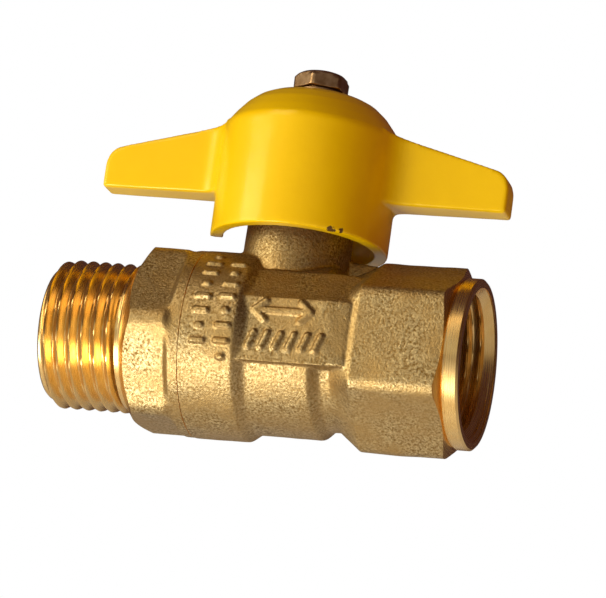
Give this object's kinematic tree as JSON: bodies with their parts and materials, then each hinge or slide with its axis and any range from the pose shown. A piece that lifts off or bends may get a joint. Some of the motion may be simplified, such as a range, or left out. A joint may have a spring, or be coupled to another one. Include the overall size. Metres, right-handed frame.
{
  "type": "ball valve",
  "caption": "Forged brass ball valve with a male threaded end, a female threaded end with wrench flats, and a butterfly handle that turns a quarter turn.",
  "frame": {"origin": "centre of the ball, where the flow axis and the stem axis cross", "axes": "+X along the pipe towards the female end, +Z along the stem towards the handle, +Y completes the frame; the stop lug is on the +Y side"},
  "size_m": [0.0624, 0.0268, 0.0538],
  "materials": {
    "forged_brass": "hot forged and shot blasted",
    "turned_brass": "turned",
    "chromed_brass": "polished chrome plate",
    "white_ptfe": "moulded and turned",
    "nitrile_rubber": "moulded",
    "yellow_coating": "gloss epoxy coat on a zinc casting",
    "plated_steel": "yellow passivated zinc plate"
  },
  "bodies": {
    "root": {"body": "forged_brass", "end_adapter": "forged_brass", "adapter_o_ring": "nitrile_rubber", "seat_ring_female_side": "white_ptfe", "seat_ring_male_side": "white_ptfe", "stem_thrust_washer": "white_ptfe", "packing_ring": "white_ptfe", "gland_nut": "turned_brass"},
    "handle_and_stem": {"handle": "yellow_coating", "stem": "turned_brass", "stem_o_ring_lower": "nitrile_rubber", "stem_o_ring_upper": "nitrile_rubber", "spring_washer": "plated_steel", "handle_screw": "plated_steel"},
    "ball": {"ball": "chromed_brass"}
  },
  "joints": [
    {"name": "handle_turn", "type": "hinge", "parent": "root", "child": "handle_and_stem", "pos_m": [0, 0, 0], "axis": [0, 0, 1], "range_deg": [-90, 0]},
    {"name": "ball_turn", "type": "hinge", "parent": "root", "child": "ball", "pos_m": [0, 0, 0], "axis": [0, 0, 1], "range_deg": [-90, 0]}
  ],
  "couplings": [
    {"joint": "ball_turn", "follows": "handle_turn", "ratio": 1}
  ]
}
